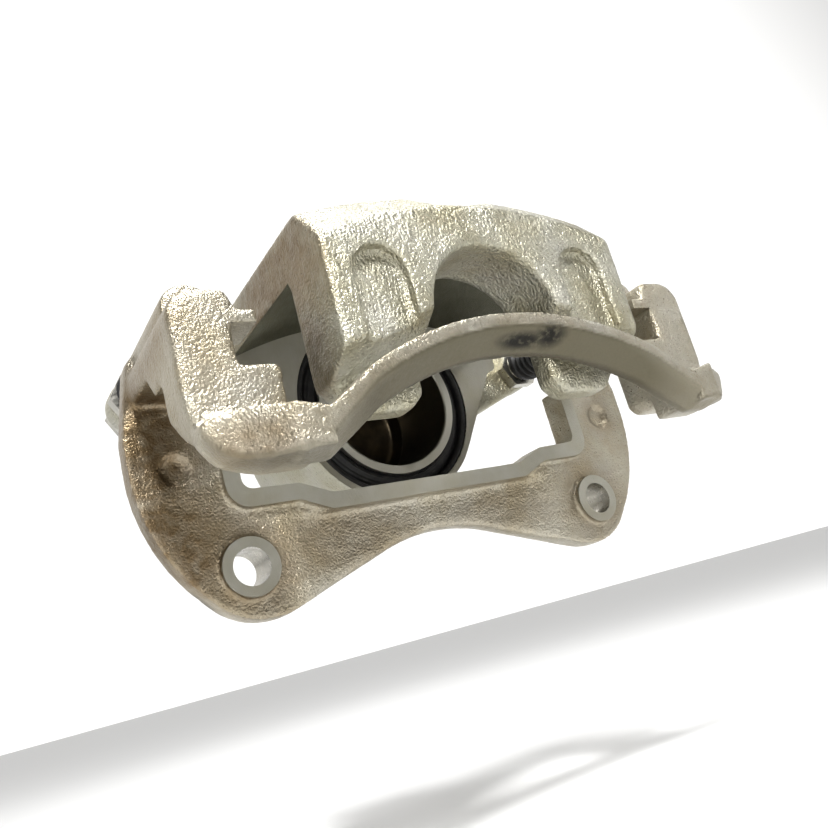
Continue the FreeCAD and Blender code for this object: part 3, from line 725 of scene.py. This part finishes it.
for start, radius, material in ((81.7, 8.2, milled), (69, 4.5, bored)):
    bore(housing, (PORT_SPAN, start, PORT_HEIGHT), (PORT_SPAN, 90, PORT_HEIGHT), radius, material)
for start, radius, material in ((98.7, 7.0, milled), (83, 5.0, bored)):
    bore(housing, (BLEEDER_SPAN, BLEEDER_DEPTH, start), (BLEEDER_SPAN, BLEEDER_DEPTH, 110),
         radius, material)

# the slot's roof is darkened as painted shade, and its two end faces, paler than its roof, take the
# pale milled finish
faces = housing.data.polygons
cut = [face for face in faces if housing.data.materials[face.material_index] is slot_milled_shaded]
if milled.name not in housing.data.materials:
    housing.data.materials.append(milled)
for face in cut:
    if abs(face.normal.y) > 0.7:
        face.material_index = housing.data.materials.find(milled.name)
for side in (-1, 1):
    pin = side * PIN_SPAN
    for start, end, radius, material in ((54.8, 70, LUG_FACE_RADIUS, milled),
                                         (37, 43.2, LUG_FACE_RADIUS, milled),
                                         (37, 70, PIN_BOLT_HOLE_RADIUS, bored)):
        bore(housing, (pin, start, PIN_HEIGHT), (pin, end, PIN_HEIGHT), radius, material)
smooth_shade(housing, 40)
# brown mask on the housing, as on the bracket: chromate colour and painted shade
spots(housing.data, "tint_and_shade", [((-60, -30, 80), (5, 60, 34), 1.0), ((-60, -40, 55), (5, 24, 34), 0.8),
                             ((55, -50, 90), (16, 20, 10), 0.3), ((0, -52, 74), (24, 14, 10), 0.45)])
spots(housing.data, "smudge", [((-62, -45, 48), (6, 10, 14), 0.35)])
# smoother and darker round the piston's line through the outboard leg
spots(housing.data, "smooth_and_shade", [((0, -52, 55), (25.5, 12, 25.5), 0.6)])
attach(housing, "housing")
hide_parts("caliper_housing")


# ---- rubber boots ----

def bellows(low, high, valley, ridge, folds, wall, narrowing=0.0):
    """Ring profile of a folded tube from one station to another, with an even wall."""
    steps = folds * 12
    outer = []
    for k in range(steps + 1):
        along = low + (high - low) * k / steps
        wave = 0.5 - 0.5 * math.cos(2 * math.pi * folds * k / steps)
        outer.append((valley + (ridge - valley) * wave ** 0.8 - narrowing * k / steps, along))
    return outer + [(radius - wall, along) for radius, along in reversed(outer)]


# ring profiles, each point a radius and a distance along Y
PIN_BOOT_BEAD = [(6.2, 15.35), (8.3, 15.35), (8.6, 15.8), (8.6, 17.6), (8.1, 18.2), (6.6, 18.2),
                 (6.2, 17.8)]
PIN_BOOT_COLLAR = [(6.2, 34.3), (7.4, 34.3), (7.8, 34.8), (7.8, 36.3), (7.4, 36.8), (6.2, 36.8)]
PISTON_BOOT_RIM = [(37.4, 19.6), (37.4, 23.5), (34.4, 23.5), (34.4, 22.7), (35.2, 22.0),
                   (35.2, 20.0), (35.6, 19.5), (37.0, 19.3)]
PISTON_BOOT_LIP = [(28.5, 20.3), (28.5, 21.6), (30.6, 21.9), (31.0, 21.5), (31.0, 19.8),
                   (30.6, 19.4), (30.2, 19.6), (30.1, 20.3)]

for side, word in ((-1, "left"), (1, "right")):
    place = (side * PIN_SPAN, 0, PIN_HEIGHT)
    folded = lathe(f"pin_boot_{word}_folds", bellows(17.6, 34.6, 6.9, 8.9, 5, 0.75), place, INBOARD)
    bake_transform(folded)
    front = lathe(f"pin_boot_{word}_bead", PIN_BOOT_BEAD, place, INBOARD)
    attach(front, "bracket")
    back = lathe(f"pin_boot_{word}_collar", PIN_BOOT_COLLAR, place, INBOARD)
    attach(back, "housing")
    for piece in (folded, front, back):
        piece.data.materials.append(rubber)
        smooth_shade(piece, 50)
        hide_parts(f"pin_boot_{word}")

centre = (0, 0, PISTON_HEIGHT)
outer_bead = lathe("piston_boot_rim", PISTON_BOOT_RIM, centre, INBOARD, 160)
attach(outer_bead, "housing")
folds = lathe("piston_boot_folds", bellows(22.7, 19.7, 34.3, 35.5, 3, 0.5, 3.2), centre, INBOARD,
              160)
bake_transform(folds)
lip = lathe("piston_boot_lip", PISTON_BOOT_LIP, centre, INBOARD, 160)
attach(lip, "piston")
for piece in (outer_bead, folds, lip):
    piece.data.materials.append(rubber)
    smooth_shade(piece, 50)
    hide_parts("piston_boot")


# ---- CAD nodes that keep their shape ----

node_materials = {"piston": piston_steel, "piston_seal": rubber,
                  "guide_pin_left": zinc, "guide_pin_right": zinc, "guide_pin_bush": rubber,
                  "pin_bolt_left": zinc, "pin_bolt_right": zinc,
                  "bleeder_screw": yellow_zinc, "bleeder_cap": rubber}
for node, material in node_materials.items():
    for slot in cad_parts[node].material_slots:
        slot.material = material
